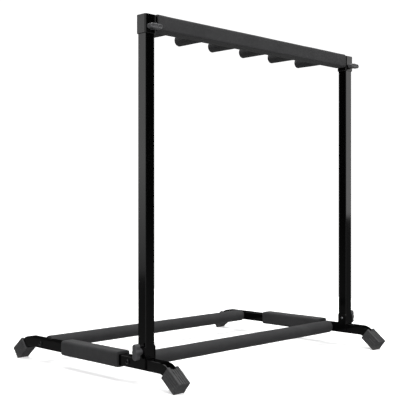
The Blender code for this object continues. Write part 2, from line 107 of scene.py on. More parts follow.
SIDE_PAD_HEIGHT = 0.0292        # 0.0283 in the CAD
SIDE_PAD_RISE = 0.0010          # 0 in the CAD, where the pad is centred on its tube
SOCKET_CORNER = 0.0030          # 0.0016 in the CAD
CLAMP_BOSS = 0.0069             # 0.0072 in the CAD
WING_BOSS = 0.0056              # 0.0072 in the CAD
WING_WIDTH = 0.0090             # 0.0104 in the CAD

# ---- dimensions of details that only this file has -----------------------------------------

CLAMP_DISH = 0.0003             # hollow in the grip's outer face
WING_DISH = 0.0009
RIB_COUNT = 5                   # on each side of a boot
RIB_DEPTH = 0.0015              # above and below
SIDE_RIB_DEPTH = 0.00045

# Angles in degrees above which an edge is shaded sharp
STEEL_SHARP = 38
SCREW_SHARP = 35
RUBBER_SHARP = 32
KNOB_SHARP = 50
FOAM_SHARP = 60

SIDES = (("left", -1.0), ("right", 1.0))
ENDS = (("front", -1.0), ("rear", 1.0))


# ---- materials ---------------------------------------------------------------------------

def set_range(node, low, high, to_low, to_high):
    names = ("From Min", "From Max", "To Min", "To Max")
    for name, number in zip(names, (low, high, to_low, to_high)):
        node.inputs[name].default_value = number


class Nodes:
    """Short calls for building a material's node tree."""

    def __init__(self, name):
        self.material = bpy.data.materials.new(name)
        self.material.use_nodes = True
        self.tree = self.material.node_tree
        self.shader = self.tree.nodes["Principled BSDF"]
        self.place = self.tree.nodes.new("ShaderNodeTexCoord").outputs["Object"]

    def link(self, source, target):
        self.tree.links.new(source, target)

    def value(self, socket, source):
        """A socket takes a number or another node's output."""
        if isinstance(source, bpy.types.NodeSocket):
            self.link(source, socket)
        else:
            socket.default_value = source

    def noise(self, scale, detail=3.0, roughness=0.55, stretch=None):
        node = self.tree.nodes.new("ShaderNodeTexNoise")
        node.inputs["Scale"].default_value = scale
        node.inputs["Detail"].default_value = detail
        node.inputs["Roughness"].default_value = roughness
        place = self.place
        if stretch is not None:
            mapping = self.tree.nodes.new("ShaderNodeMapping")
            mapping.inputs["Scale"].default_value = stretch
            self.link(place, mapping.inputs["Vector"])
            place = mapping.outputs["Vector"]
        self.link(place, node.inputs["Vector"])
        return node.outputs["Fac"]

    def cells(self, scale):
        node = self.tree.nodes.new("ShaderNodeTexVoronoi")
        node.feature = "F1"
        node.inputs["Scale"].default_value = scale
        self.link(self.place, node.inputs["Vector"])
        return node.outputs["Distance"]

    def math(self, operation, a, b=0.0, clamp=False):
        node = self.tree.nodes.new("ShaderNodeMath")
        node.operation = operation
        node.use_clamp = clamp
        self.value(node.inputs[0], a)
        self.value(node.inputs[1], b)
        return node.outputs[0]

    def span(self, source, low, high, to_low=0.0, to_high=1.0):
        node = self.tree.nodes.new("ShaderNodeMapRange")
        self.link(source, node.inputs["Value"])
        set_range(node, low, high, to_low, to_high)
        return node.outputs["Result"]

    def colours(self, factor, first, second):
        node = self.tree.nodes.new("ShaderNodeMix")
        node.data_type = "RGBA"
        self.value(node.inputs["Factor"], factor)
        for socket, colour in ((node.inputs["A"], first), (node.inputs["B"], second)):
            if isinstance(colour, bpy.types.NodeSocket):
                self.link(colour, socket)
            else:
                socket.default_value = (*colour, 1.0)
        return node.outputs["Result"]

    def numbers(self, factor, first, second):
        node = self.tree.nodes.new("ShaderNodeMix")
        self.value(node.inputs["Factor"], factor)
        self.value(node.inputs["A"], first)
        self.value(node.inputs["B"], second)
        return node.outputs["Result"]

    def edges(self, radius, low=0.015, high=0.16):
        """1 on convex and concave edges, 0 on open faces."""
        bevel = self.tree.nodes.new("ShaderNodeBevel")
        bevel.samples = 4
        bevel.inputs["Radius"].default_value = radius
        face = self.tree.nodes.new("ShaderNodeNewGeometry")
        dot = self.tree.nodes.new("ShaderNodeVectorMath")
        dot.operation = "DOT_PRODUCT"
        self.link(bevel.outputs["Normal"], dot.inputs[0])
        self.link(face.outputs["Normal"], dot.inputs[1])
        bent = self.math("SUBTRACT", 1.0, dot.outputs["Value"])
        return self.span(bent, low, high)

    def bump(self, height, strength, distance):
        node = self.tree.nodes.new("ShaderNodeBump")
        node.inputs["Strength"].default_value = strength
        node.inputs["Distance"].default_value = distance
        self.link(height, node.inputs["Height"])
        self.link(node.outputs["Normal"], self.shader.inputs["Normal"])

    def finish(self, colour, roughness, metallic=0.0, specular=0.5, sheen=0.0):
        self.value(self.shader.inputs["Base Color"], colour)
        self.value(self.shader.inputs["Roughness"], roughness)
        self.shader.inputs["Metallic"].default_value = metallic
        self.shader.inputs["Specular IOR Level"].default_value = specular
        self.shader.inputs["Sheen Weight"].default_value = sheen
        return self.material


def black_paint():
    """Gloss powder coat: orange peel, a few dust nibs, thin and dull along worn edges."""
    n = Nodes("gloss_black_paint")
    drift = n.noise(9.0, 2.0)
    peel = n.noise(420.0, 2.0, 0.4)
    nibs = n.span(n.cells(260.0), 0.10, 0.03)
    patches = n.span(n.noise(60.0, 4.0, 0.7), 0.48, 0.70)
    worn = n.math("MULTIPLY", n.edges(0.0012), patches, clamp=True)
    base = n.colours(drift, (0.0003, 0.0003, 0.0003), (0.0006, 0.0006, 0.0006))
    colour = n.colours(worn, base, (0.010, 0.010, 0.011))
    smear = n.span(n.noise(38.0, 5.0, 0.65, (1.0, 1.0, 0.25)), 0.35, 0.75, 0.075, 0.115)
    roughness = n.numbers(worn, smear, 0.34)
    n.bump(n.math("ADD", peel, n.math("MULTIPLY", nibs, 0.5)), 0.05, 0.00006)
    return n.finish(colour, roughness)


def bare_black_steel():
    """Black-oxide screws."""
    n = Nodes("black_oxide_steel")
    grain = n.noise(900.0, 4.0, 0.7)
    worn = n.math("MULTIPLY", n.edges(0.0006), n.span(n.noise(300.0), 0.42, 0.6), clamp=True)
    base = n.colours(grain, (0.0010, 0.0010, 0.0011), (0.0030, 0.0030, 0.0032))
    colour = n.colours(worn, base, (0.04, 0.04, 0.04))
    roughness = n.span(grain, 0.3, 0.7, 0.14, 0.24)
    n.bump(grain, 0.20, 0.00005)
    return n.finish(colour, roughness)


def foam():
    """Closed-cell foam with a fine skinned surface and painted shade in its pits, brushed lighter along
    its corners.
    """
    n = Nodes("black_foam_sleeve")
    cells = n.cells(620.0)
    fine = n.noise(1500.0, 4.0, 0.75)
    pits = n.span(n.cells(310.0), 0.16, 0.05)
    cloud = n.noise(26.0, 4.0, 0.6)
    long_marks = n.noise(70.0, 3.0, 0.6, (0.35, 1.0, 1.0))
    scuff = n.math("MULTIPLY", n.edges(0.0030, 0.02, 0.30), n.span(cloud, 0.35, 0.65), clamp=True)
    base = n.colours(n.span(cloud, 0.3, 0.7), (0.0215, 0.0215, 0.0225), (0.0290, 0.0290, 0.0300))
    marked = n.colours(n.span(long_marks, 0.52, 0.72, 0.0, 0.5), base, (0.034, 0.034, 0.035))
    speckled = n.colours(n.span(fine, 0.45, 0.75, 0.0, 0.6), marked, (0.044, 0.044, 0.045))
    # Painted shade: the pits that the bump below hollows out are also darkened in the colour.
    pit_shaded = n.colours(pits, speckled, (0.010, 0.010, 0.0105))
    colour = n.colours(n.math("MULTIPLY", scuff, 0.5), pit_shaded, (0.052, 0.052, 0.053))
    roughness = n.span(fine, 0.3, 0.7, 0.82, 0.97)
    raised = n.math("ADD", n.math("MULTIPLY", cells, 0.7), n.math("MULTIPLY", fine, 0.5))
    skin = n.math("SUBTRACT", raised, pits)
    n.bump(skin, 0.45, 0.00030)
    return n.finish(colour, roughness, specular=0.22, sheen=0.05)


def rubber():
    """Moulded rubber: matt, dusty towards the floor, polished grey along its corners."""
    n = Nodes("black_rubber_boot")
    fine = n.noise(1100.0, 4.0, 0.7)
    cloud = n.noise(120.0, 4.0, 0.65)
    height = n.tree.nodes.new("ShaderNodeSeparateXYZ")
    n.link(n.place, height.inputs["Vector"])
    low = n.span(height.outputs["Z"], 0.012, 0.001)
    dust = n.math("MULTIPLY", low, n.span(cloud, 0.35, 0.65), clamp=True)
    corner = n.math("MULTIPLY", n.edges(0.0010), n.span(cloud, 0.30, 0.60), clamp=True)
    base = n.colours(n.span(cloud, 0.3, 0.7), (0.034, 0.034, 0.035), (0.046, 0.046, 0.047))
    rubbed = n.colours(n.math("MULTIPLY", corner, 0.6), base, (0.075, 0.075, 0.076))
    colour = n.colours(n.math("MULTIPLY", dust, 0.55), rubbed, (0.105, 0.102, 0.097))
    roughness = n.numbers(corner, n.span(fine, 0.3, 0.7, 0.62, 0.80), 0.50)
    n.bump(n.math("ADD", fine, n.math("MULTIPLY", cloud, 0.6)), 0.30, 0.00015)
    return n.finish(colour, roughness, specular=0.35)


def grey_plastic():
    """Injection-moulded knob with a spark-eroded texture, shinier where fingers hold it."""
    n = Nodes("dark_grey_plastic")
    texture = n.cells(1500.0)
    fine = n.noise(2400.0, 3.0, 0.7)
    cloud = n.noise(150.0, 3.0, 0.6)
    held = n.math("MULTIPLY", n.edges(0.0012), n.span(cloud, 0.30, 0.62), clamp=True)
    base = n.colours(n.span(cloud, 0.3, 0.7), (0.040, 0.040, 0.042), (0.052, 0.052, 0.054))
    colour = n.colours(n.math("MULTIPLY", held, 0.6), base, (0.085, 0.085, 0.087))
    roughness = n.numbers(held, n.span(fine, 0.3, 0.7, 0.40, 0.54), 0.30)
    n.bump(n.math("ADD", texture, fine), 0.30, 0.00012)
    return n.finish(colour, roughness)


def black_plastic():
    """Plain black moulded end plug, scraped where it swings over the rail."""
    n = Nodes("black_plastic_plug")
    fine = n.noise(1300.0, 3.0, 0.6)
    scrape = n.span(n.noise(500.0, 3.0, 0.6, (1.0, 0.08, 0.3)), 0.55, 0.70)
    worn = n.math("MULTIPLY", n.edges(0.0010), scrape, clamp=True)
    base = n.colours(fine, (0.0008, 0.0008, 0.0009), (0.0020, 0.0020, 0.0021))
    colour = n.colours(worn, base, (0.02, 0.02, 0.02))
    n.bump(fine, 0.20, 0.00010)
    return n.finish(colour, n.span(fine, 0.3, 0.7, 0.30, 0.44), specular=0.25)


def zinc():
    """Bright zinc on the studs and inserts, with the fine grooves of their threads."""
    n = Nodes("bright_zinc")
    grain = n.noise(700.0, 4.0, 0.6)
    stain = n.noise(160.0, 3.0, 0.6)
    worn = n.edges(0.0005)
    base = n.colours(n.span(stain, 0.3, 0.7), (0.42, 0.43, 0.45), (0.55, 0.56, 0.57))
    colour = n.colours(n.math("MULTIPLY", worn, 0.5), base, (0.68, 0.68, 0.68))
    n.bump(grain, 0.30, 0.00008)
    return n.finish(colour, n.span(grain, 0.3, 0.7, 0.26, 0.42), metallic=1.0)


PAINT = black_paint()
OXIDE = bare_black_steel()
FOAM = foam()
RUBBER = rubber()
GREY = grey_plastic()
PLUG = black_plastic()
ZINC = zinc()


# ---- mesh helpers ----------------------------------------------------------------------

def mesh_from(work, name):
    mesh = bpy.data.meshes.new(name)
    bmesh.ops.recalc_face_normals(work, faces=work.faces)
    work.to_mesh(mesh)
    work.free()
    return mesh


def soften(mesh, angle):
    mesh.shade_smooth()
    mesh.set_sharp_from_angle(angle=radians(angle))
    return mesh


def add(name, mesh, material, body, slot, *nodes):
    """One visible piece that stands for CAD nodes and moves with their body."""
    item = bpy.data.objects.new(name, mesh)
    bpy.context.scene.collection.objects.link(item)
    item.data.materials.clear()
    item.data.materials.append(material)
    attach(item, body)
    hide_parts(*nodes)
    return item


def weigh_normals(item):
    """Flat faces stay flat and only the rounded corners take the turn of the shading."""
    step = item.modifiers.new("weighted_normals", "WEIGHTED_NORMAL")
    step.mode = "FACE_AREA_WITH_ANGLE"
    step.weight = 100
    step.keep_sharp = True


def applied(mesh, *steps):
    """The mesh after modifiers, each given as a type and its settings."""
    item = bpy.data.objects.new("applied", mesh)
    bpy.context.scene.collection.objects.link(item)
    for kind, settings in steps:
        step = item.modifiers.new(kind.lower(), kind)
        for key, value in settings.items():
            setattr(step, key, value)
    bpy.context.view_layer.update()
    graph = bpy.context.evaluated_depsgraph_get()
    made = bpy.data.meshes.new_from_object(item.evaluated_get(graph))
    bpy.data.objects.remove(item, do_unlink=True)
    return made


def helper(mesh):
    item = bpy.data.objects.new("helper", mesh)
    bpy.context.scene.collection.objects.link(item)
    item.hide_render = True
    return item


def combined(mesh, tool_mesh, operation="DIFFERENCE", after=()):
    """The mesh cut by a second one, or joined with it, and the modifiers that follow."""
    tool = helper(tool_mesh)
    joining = {"operation": operation, "solver": "EXACT", "object": tool}
    made = applied(mesh, ("BOOLEAN", joining), *after)
    bpy.data.objects.remove(tool, do_unlink=True)
    return made


def add_rod(work, radius, depth, placing=None):
    """A round cutter for a hole, added to those already in work."""
    rod = bmesh.ops.create_cone(work, cap_ends=True, segments=24, radius1=radius,
                                radius2=radius, depth=depth)
    if placing is not None:
        bmesh.ops.transform(work, verts=rod["verts"], matrix=placing)


def circle(radius, steps):
    turns = [2 * pi * i / steps for i in range(steps)]
    return [(radius * cos(a), radius * sin(a)) for a in turns]


def ring(outline, z):
    return [(x, y, z) for x, y in outline]


def rounded_box(width, height, radius, corner_steps=6, side_steps=1):
    """Closed outline, counter-clockwise, with extra points along its sides."""
    points = []
    x, y = width / 2 - radius, height / 2 - radius
    corners = ((x, y), (-x, y), (-x, -y), (x, -y))
    for number, (cx, cy) in enumerate(corners):
        for i in range(corner_steps + 1):
            a = radians(90 * number + 90 * i / corner_steps)
            points.append((cx + radius * cos(a), cy + radius * sin(a)))
        nx, ny = corners[(number + 1) % 4]
        a = radians(90 * number + 90)
        end = (cx + radius * cos(a), cy + radius * sin(a))
        start = (nx + radius * cos(a), ny + radius * sin(a))
        for i in range(1, side_steps):
            t = i / side_steps
            points.append((end[0] + (start[0] - end[0]) * t, end[1] + (start[1] - end[1]) * t))
    return points


def shrunk(points, width, height, amount):
    """An outline centred on 0 drawn in by amount on every side."""
    return [(x * (1 - 2 * amount / width), y * (1 - 2 * amount / height)) for x, y in points]


def loft(rings, closed=False):
    """Skin over rings of equally many points, capped, or with its last ring joined to its first."""
    work = bmesh.new()
    rows = [[work.verts.new(p) for p in ring] for ring in rings]
    count = len(rows[0])
    pairs = list(zip(rows, rows[1:]))
    if closed:
        pairs.append((rows[-1], rows[0]))
    for low, high in pairs:
        for i in range(count):
            j = (i + 1) % count
            work.faces.new((low[i], low[j], high[j], high[i]))
    if not closed:
        work.faces.new(list(reversed(rows[0])))
        work.faces.new(rows[-1])
    return work


def turned(profile, steps):
    """Closed turned shape from (radius, z) points. A radius of 0 closes an end."""
    work = bmesh.new()
    rows = []
    for r, z in profile:
        if r == 0:
            rows.append([work.verts.new((0, 0, z))])
        else:
            rows.append([work.verts.new((x, y, z)) for x, y in circle(r, steps)])
    for low, high in zip(rows, rows[1:]):
        for i in range(steps):
            j = (i + 1) % steps
            quad = [low[i % len(low)], low[j % len(low)], high[j % len(high)], high[i % len(high)]]
            face = list(dict.fromkeys(quad))
            if len(face) > 2:
                work.faces.new(face)
    return work


def along_x(position, direction=1.0):
    turn = Matrix(((0, 0, direction), (0, -direction, 0), (1, 0, 0))).to_4x4()
    return Matrix.Translation(position) @ turn


def along_y(position, direction=1.0):
    turn = Matrix(((1, 0, 0), (0, 0, direction), (0, -direction, 0))).to_4x4()
    return Matrix.Translation(position) @ turn


def middle(node):
    low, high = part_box(node)
    return (low + high) / 2


def size(node):
    low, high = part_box(node)
    return high - low


# ---- steel and other parts that keep their CAD shape ---------------------------------------

def refined(node, body, material, slot):
    """The node's own shape, its facets welded so that corners shade round and faces flat."""
    work = bmesh.new()
    work.from_mesh(FRAME["nodes"][node].data)
    for layer in [k for k in work.loops.layers.float_vector.keys()]:
        work.loops.layers.float_vector.remove(work.loops.layers.float_vector[layer])
    bmesh.ops.remove_doubles(work, verts=work.verts, dist=0.000002)
    bmesh.ops.dissolve_limit(work, angle_limit=radians(0.4), verts=work.verts, edges=work.edges)
    mesh = bpy.data.meshes.new(node)
    work.to_mesh(mesh)
    work.free()
    if "custom_normal" in mesh.attributes:
        mesh.attributes.remove(mesh.attributes["custom_normal"])
    soften(mesh, STEEL_SHARP)
    weigh_normals(add(f"look_{node}", mesh, material, body, slot, node))


def body_with(node):
    for name, members in FRAME["record"]["behaviour"]["bodies"].items():
        if node in members:
            return name
    return "root"


def dress_steel():
    steel, zinc_plate = (PAINT, "black_steel"), (ZINC, "zinc")
    plain = {
        "side_rail": steel, "hinge_plate": steel, "upright_plug": (PLUG, "black_plastic"),
        "upright": steel, "top_bar": steel, "cross_tube": steel, "finger_peg": steel,
        "clamp_stud": zinc_plate, "wing_stud": zinc_plate, "tube_insert": zinc_plate,
    }
    for node in sorted(FRAME["nodes"]):
        for start, (material, slot) in plain.items():
            if node.startswith(start):
                refined(node, body_with(node), material, slot)
                break


def build_sockets():
    """Caps over the uprights with well rounded corners, drilled for the wing screws."""
    bore = UPRIGHT_TUBE + 2 * GAP
    edge, lip = 0.0007, 0.0003
    for side, _ in SIDES:
        node = f"top_socket_{side}"
        low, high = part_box(node)
        wide, deep, tall = high - low
        outer = rounded_box(wide, deep, SOCKET_CORNER, 8)
        inner = rounded_box(bore, bore, UPRIGHT_CORNER, 8)
        rows = [ring(inner, tall - SOCKET_ROOF), ring(inner, 0),
                ring(shrunk(outer, wide, deep, lip), 0), ring(outer, lip)]
        for i in range(5):
            a = radians(90 * i / 4)
            narrowed = shrunk(outer, wide, deep, edge * (1 - cos(a)))
            rows.append(ring(narrowed, tall - edge + edge * sin(a)))
        block = mesh_from(loft(rows), "socket")
        block.transform(Matrix.Translation(((low.x + high.x) / 2, (low.y + high.y) / 2, low.z)))
        drill = bmesh.new()
        stud = middle(f"wing_stud_{side}")
        add_rod(drill, STUD_HOLE, bore / 2, along_y((stud.x, high.y, stud.z)))
        made = soften(combined(block, mesh_from(drill, "stud_hole")), STEEL_SHARP)
        weigh_normals(add(f"socket_{side}", made, PAINT, "top_rail", "black_steel", node))


# ---- foam ------------------------------------------------------------------------------

def square_sleeve(length, wide, tall, corner, tube, tube_corner, seed, rise=0.0):
    """Foam sleeve round a square tube, along Z about its middle, as a closed shell.

    rise moves its outside towards -Y, away from the middle of the tube.
    """
    bore = tube + 2 * GAP
    outer = rounded_box(wide, tall, corner, 6, 8)
    inner = rounded_box(bore, bore, tube_corner, 6, 8)
    edge = 0.0012
    end_recess = 0.0006
    half = length / 2
    steps = max(8, int(length / 0.007))
    rings = []
    for i in range(5):
        a = radians(90 * i / 4)
        rings.append((shrunk(outer, wide, tall, edge * (1 - sin(a))), -half + edge * (1 - cos(a))))
    for i in range(1, steps):
        rings.append((outer, -half + edge + (length - 2 * edge) * i / steps))
    for i in range(5):
        a = radians(90 * (4 - i) / 4)
        rings.append((shrunk(outer, wide, tall, edge * (1 - sin(a))), half - edge * (1 - cos(a))))
    rows = []
    for outline, z in rings:
        rows.append([swell(x, y - rise, z, wide, tall, seed) for x, y in outline])
    rows += [ring(inner, half - end_recess), ring(inner, -half + end_recess)]
    return mesh_from(loft(rows, closed=True), "square_sleeve")


def swell(x, y, z, wide, tall, seed):
    """Faces crown a little between the corners and wander along the length."""
    u, v = x / (wide / 2), y / (tall / 2)
    crown = 0.00022 * (1 - min(abs(u), abs(v)) ** 2) - 0.00015
    wander = 0.00030 * noise.noise(Vector((u * 0.8, v * 0.8, z * 22.0 + seed * 7.3)))
    push = 1 + (crown + wander) / (wide / 2)
    return (x * push, y * push, z)


def round_sleeve(radius, bore, length, seed):
    """Foam tube along Z about its middle."""
    edge = 0.0010
    end_recess = 0.0005
    half = length / 2
    steps = max(8, int(length / 0.008))
    turns = [radians(90 * i / 4) for i in range(5)]
    levels = [(edge * (1 - sin(a)), -half + edge * (1 - cos(a))) for a in turns]
    levels += [(0.0, -half + edge + (length - 2 * edge) * i / steps) for i in range(1, steps)]
    levels += [(inset, -z) for inset, z in reversed(levels[:5])]
    rows = []
    for inset, z in levels:
        row = []
        for x, y in circle(radius - inset, 40):
            u, v = x / radius, y / radius
            wander = noise.noise(Vector((u * 0.7, v * 0.7, z * 16.0 + seed * 5.9)))
            push = 1 + 0.022 * wander - 0.008
            row.append((x * push, y * push, z))
        rows.append(row)
    rows += [ring(circle(bore, 40), half - end_recess), ring(circle(bore, 40), -half + end_recess)]
    return mesh_from(loft(rows, closed=True), "round_sleeve")


def build_foam():
    for number, (side, _) in enumerate(SIDES):
        node = f"side_pad_{side}"
        mesh = square_sleeve(size(node).y, SIDE_PAD_WIDTH, SIDE_PAD_HEIGHT, FOAM_CORNER,
                             TUBE, TUBE_CORNER, 1 + number, SIDE_PAD_RISE)
        mesh.transform(along_y(middle(node)))
        pad = add(f"foam_side_{side}", soften(mesh, FOAM_SHARP), FOAM, "base", "black_foam", node)
    for number, (end, _) in enumerate(ENDS):
        node = f"cross_foam_{end}"
        mesh = round_sleeve(size(node).z / 2, CROSS_TUBE_HOLE, size(node).x, 3 + number)
        mesh.transform(along_x(middle(node)))
        sleeve = add(f"foam_cross_{end}", soften(mesh, FOAM_SHARP), FOAM, "base", "black_foam", node)
    build_top_foam()
    for number in range(1, 7):
        build_finger(number)


def build_top_foam():
    """The sleeve on the top bar, with a hole for each finger's peg."""
    mesh = square_sleeve(size("top_foam").x, TOP_FOAM_SIZE, TOP_FOAM_SIZE, TOP_FOAM_CORNER,
                         UPRIGHT_TUBE, UPRIGHT_CORNER, 6)
    mesh.transform(along_x(middle("top_foam")))
    cutters = bmesh.new()
    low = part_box("top_foam")[0]
    for number in range(1, 7):
        centre = middle(f"finger_peg_{number}")
        add_rod(cutters, PEG_RADIUS + GAP, 0.010, along_y((centre.x, low.y + 0.0005, centre.z)))
    made = soften(combined(mesh, mesh_from(cutters, "peg_holes")), FOAM_SHARP)
    sleeve = add("foam_top_rail", made, FOAM, "top_rail", "black_foam", "top_foam")
    weigh_normals(sleeve)


def build_finger(number):
    """Round foam finger with a closed, softly rounded tip."""
    node = f"finger_foam_{number}"
    low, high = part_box(node)
    length, radius = high.y - low.y, (high.z - low.z) / 2
    bore = PEG_RADIUS + GAP
    tip = 0.0030
    floor = length - 0.0035
    profile = [(0, length)]
    for degrees in range(0, 91, 15):
        a = radians(degrees)
        profile.append((radius - tip + tip * sin(a), length - tip + tip * cos(a)))
    steps = 10
    profile += [(radius, (length - tip) * (1 - i / steps)) for i in range(1, steps)]
    profile += [(radius, 0.0008), (radius - 0.0006, 0.0), (bore, 0.0), (bore, floor), (0, floor)]
    work = turned(profile, 40)
    for vertex in work.verts:
        reach = hypot(vertex.co.x, vertex.co.y)
        if reach > bore + 0.001:
            x, y, z = vertex.co
            wave = noise.noise(Vector((x * 60, y * 60, z * 45 + number * 4.7)))
            push = 1 + (0.00030 * wave - 0.00012) / reach
            vertex.co.x *= push
            vertex.co.y *= push
    mesh = mesh_from(work, "finger")
    centre = (low + high) / 2
    mesh.transform(along_y((centre.x, high.y, centre.z), -1.0))
    finger = add(f"foam_finger_{number}", soften(mesh, FOAM_SHARP), FOAM, "top_rail", "black_foam", node)


# ---- rubber boots ------------------------------------------------------------------------

def boot_matrix(sign_x, sign_y):
    """Boot axes: Z runs down the rail end from the boot's mouth, X stays along the rack."""
    tangent = BEND_RADIUS * tan(BEND_ANGLE / 2)
    mouth = Vector((0, BEND_Y + tangent * cos(BEND_ANGLE), RAIL_Z - tangent * sin(BEND_ANGLE)))
    lean = Matrix.Rotation(-(pi / 2 + BEND_ANGLE), 4, "X")
    face = Matrix.Identity(4) if sign_y > 0 else Matrix.Rotation(pi, 4, "Z")
    return Matrix.Translation((sign_x * UPRIGHT_X, 0, 0)) @ face @ Matrix.Translation(mouth) @ lean


def ribbed_outline(deep, shallow):
    """Rounded square whose flat sides carry ribs along the boot, deepest above and below."""
    points = []
    half_x, half_y = BOOT_X / 2, BOOT_Z / 2
    r = BOOT_CORNER
    for number in range(4):
        above_or_below = number % 2 == 1
        depth = deep if above_or_below else shallow
        out, reach = (half_y, half_x) if above_or_below else (half_x, half_y)
        a = radians(90 * number)
        axis, across = (cos(a), sin(a)), (-sin(a), cos(a))
        run = 2 * (reach - r)
        pitch = run / (RIB_COUNT - 0.40)
        rib = ((0.0, 0.0), (0.27, 0.0), (0.54, 0.0))
        groove = ((0.62, depth), (0.77, depth), (0.92, depth))
        for k in range(RIB_COUNT):
            start = -run / 2 + k * pitch
            for share, drop in (rib + groove if k < RIB_COUNT - 1 else rib[:2]):
                t, d = start + share * pitch, out - drop
                points.append((axis[0] * d + across[0] * t, axis[1] * d + across[1] * t))
        centre = [axis[j] * (out - r) + across[j] * (reach - r) for j in range(2)]
        for i in range(5):
            b = a + radians(90 * i / 5)
            points.append((centre[0] + r * cos(b), centre[1] + r * sin(b)))
    return points


def boot_mesh():
    """Hollow boot: plain lip at the mouth, ribbed walls, softly rounded closed end."""
    edge, lip_edge = 0.0012, 0.0006
    lip_end, rib_start = 0.0022, 0.0030
    plain, ribbed = ribbed_outline(0.0, 0.0), ribbed_outline(RIB_DEPTH, SIDE_RIB_DEPTH)
    rows = []
    for i in range(3):
        a = radians(45 * i)
        narrowed = shrunk(plain, BOOT_X, BOOT_Z, lip_edge * (1 - sin(a)))
        rows.append(ring(narrowed, lip_edge * (1 - cos(a))))
    rows += [ring(plain, lip_end), ring(ribbed, rib_start)]
    for i in range(1, 7):
        rows.append(ring(ribbed, rib_start + (BOOT_LENGTH - edge - rib_start) * i / 6))
    for i in range(1, 5):
        a = radians(90 * i / 4)
        narrowed = shrunk(ribbed, BOOT_X, BOOT_Z, edge * (1 - cos(a)))
        rows.append(ring(narrowed, BOOT_LENGTH - edge + edge * sin(a)))
    mouth = TUBE + 2 * GAP
    hollow = []
    for x, y in plain:
        sx, sy = x / (BOOT_X / 2), y / (BOOT_Z / 2)
        scale = max(abs(sx), abs(sy))
        hollow.append((sx * mouth / 2 / scale, sy * mouth / 2 / scale))
    return loft([ring(hollow, BOOT_SOCKET), ring(hollow, 0.0)] + rows)


def notched_boot():
    """The boot with a round-bottomed notch in the top of its mouth, between two prongs."""
    radius = NOTCH_DEPTH * 0.8
    half = NOTCH_WIDTH / 2
    outline = [(-half, -0.01), (half, -0.01)]
    for centre, start in ((half - radius, 0), (radius - half, 90)):
        for i in range(7):
            a = radians(start + 15 * i)
            outline.append((centre + radius * cos(a), NOTCH_DEPTH - radius + radius * sin(a)))
    ends = [[(x, y, z) for x, z in outline] for y in (-BOOT_Z, -TUBE / 4)]
    return combined(mesh_from(boot_mesh(), "boot"), mesh_from(loft(ends), "notch"))


def build_boots():
    boot = notched_boot()
    for end, sign_y in ENDS:
        for side, sign_x in SIDES:
            work = bmesh.new()
            work.from_mesh(boot)
            bmesh.ops.transform(work, matrix=boot_matrix(sign_x, sign_y), verts=work.verts)
            everything = work.verts[:] + work.edges[:] + work.faces[:]
            found = bmesh.ops.bisect_plane(work, geom=everything, plane_co=(0, 0, 0),
                                           plane_no=(0, 0, -1), clear_outer=True)
            rim = [e for e in found["geom_cut"] if isinstance(e, bmesh.types.BMEdge)]
            bmesh.ops.holes_fill(work, edges=rim, sides=0)
            node = f"foot_boot_{end}_{side}"
            mesh = soften(mesh_from(work, "boot"), RUBBER_SHARP)
            add(f"boot_{end}_{side}", mesh, RUBBER, "base", "black_rubber", node)


# ---- knobs and screws ----------------------------------------------------------------------

def knob_mesh(bore, wide, boss_radius, dish):
    """Bar-shaped grip with dished ends, a round boss in its middle and a collar below."""
    outline = rounded_box(KNOB_SPAN, wide, wide / 2 - 0.0003, 14, 6)
    edge, low_edge = 0.0015, 0.0008
    rows = []
    for i in range(4):
        a = radians(90 * i / 3)
        narrowed = shrunk(outline, KNOB_SPAN, wide, low_edge * (1 - sin(a)))
        rows.append(ring(narrowed, KNOB_COLLAR + low_edge * (1 - cos(a))))
    for i in range(6):
        a = radians(90 * i / 5)
        narrowed = shrunk(outline, KNOB_SPAN, wide, edge * (1 - cos(a)))
        rows.append(ring(narrowed, KNOB_HEIGHT - edge + edge * sin(a)))
    for inset, drop in ((0.0019, 0.0), (0.0025, 0.6 * dish), (0.0032, dish)):
        rows.append(ring(shrunk(outline, KNOB_SPAN, wide, inset), KNOB_HEIGHT - drop))
    bar = mesh_from(loft(rows), "knob_bar")
    top, r = KNOB_HEIGHT, boss_radius
    boss = turned([(0, top - 0.0008), (0.25 * r, top - 0.0006), (0.45 * r, top - 0.0002),
                   (0.67 * r, top - 0.0001), (0.84 * r, top - 0.0004), (0.95 * r, top - 0.0013),
                   (r, top - 0.0030), (0.96 * r, KNOB_COLLAR), (0.90 * r, 0.0004),
                   (0.84 * r, 0.0), (0, 0)], 40)
    rounding = (("REMESH", {"mode": "VOXEL", "voxel_size": 0.00042}),
                ("SMOOTH", {"factor": 0.5, "iterations": 3}))
    joined = combined(bar, mesh_from(boss, "knob_boss"), "UNION", rounding)
    drill = bmesh.new()
    add_rod(drill, bore, 2 * KNOB_BORE)
    return soften(combined(joined, mesh_from(drill, "knob_bore")), KNOB_SHARP)


def build_knobs():
    clamp = knob_mesh(CLAMP_HOLE, KNOB_WIDTH, CLAMP_BOSS, CLAMP_DISH)
    wing = knob_mesh(STUD_HOLE, WING_WIDTH, WING_BOSS, WING_DISH)
    for side, sign in SIDES:
        node = f"clamp_knob_{side}"
        low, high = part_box(node)
        face = low.x if sign > 0 else high.x
        centre = (low + high) / 2
        mesh = clamp.copy()
        mesh.transform(along_x((face, centre.y, centre.z), sign))
        add(f"knob_clamp_{side}", mesh, GREY, f"clamp_{side}", "grey_plastic", node)
        node = f"wing_knob_{side}"
        low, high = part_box(node)
        centre = (low + high) / 2
        mesh = wing.copy()
        mesh.transform(along_y((centre.x, low.y, centre.z)))
        add(f"knob_wing_{side}", mesh, GREY, f"wing_screw_{side}", "grey_plastic", node)


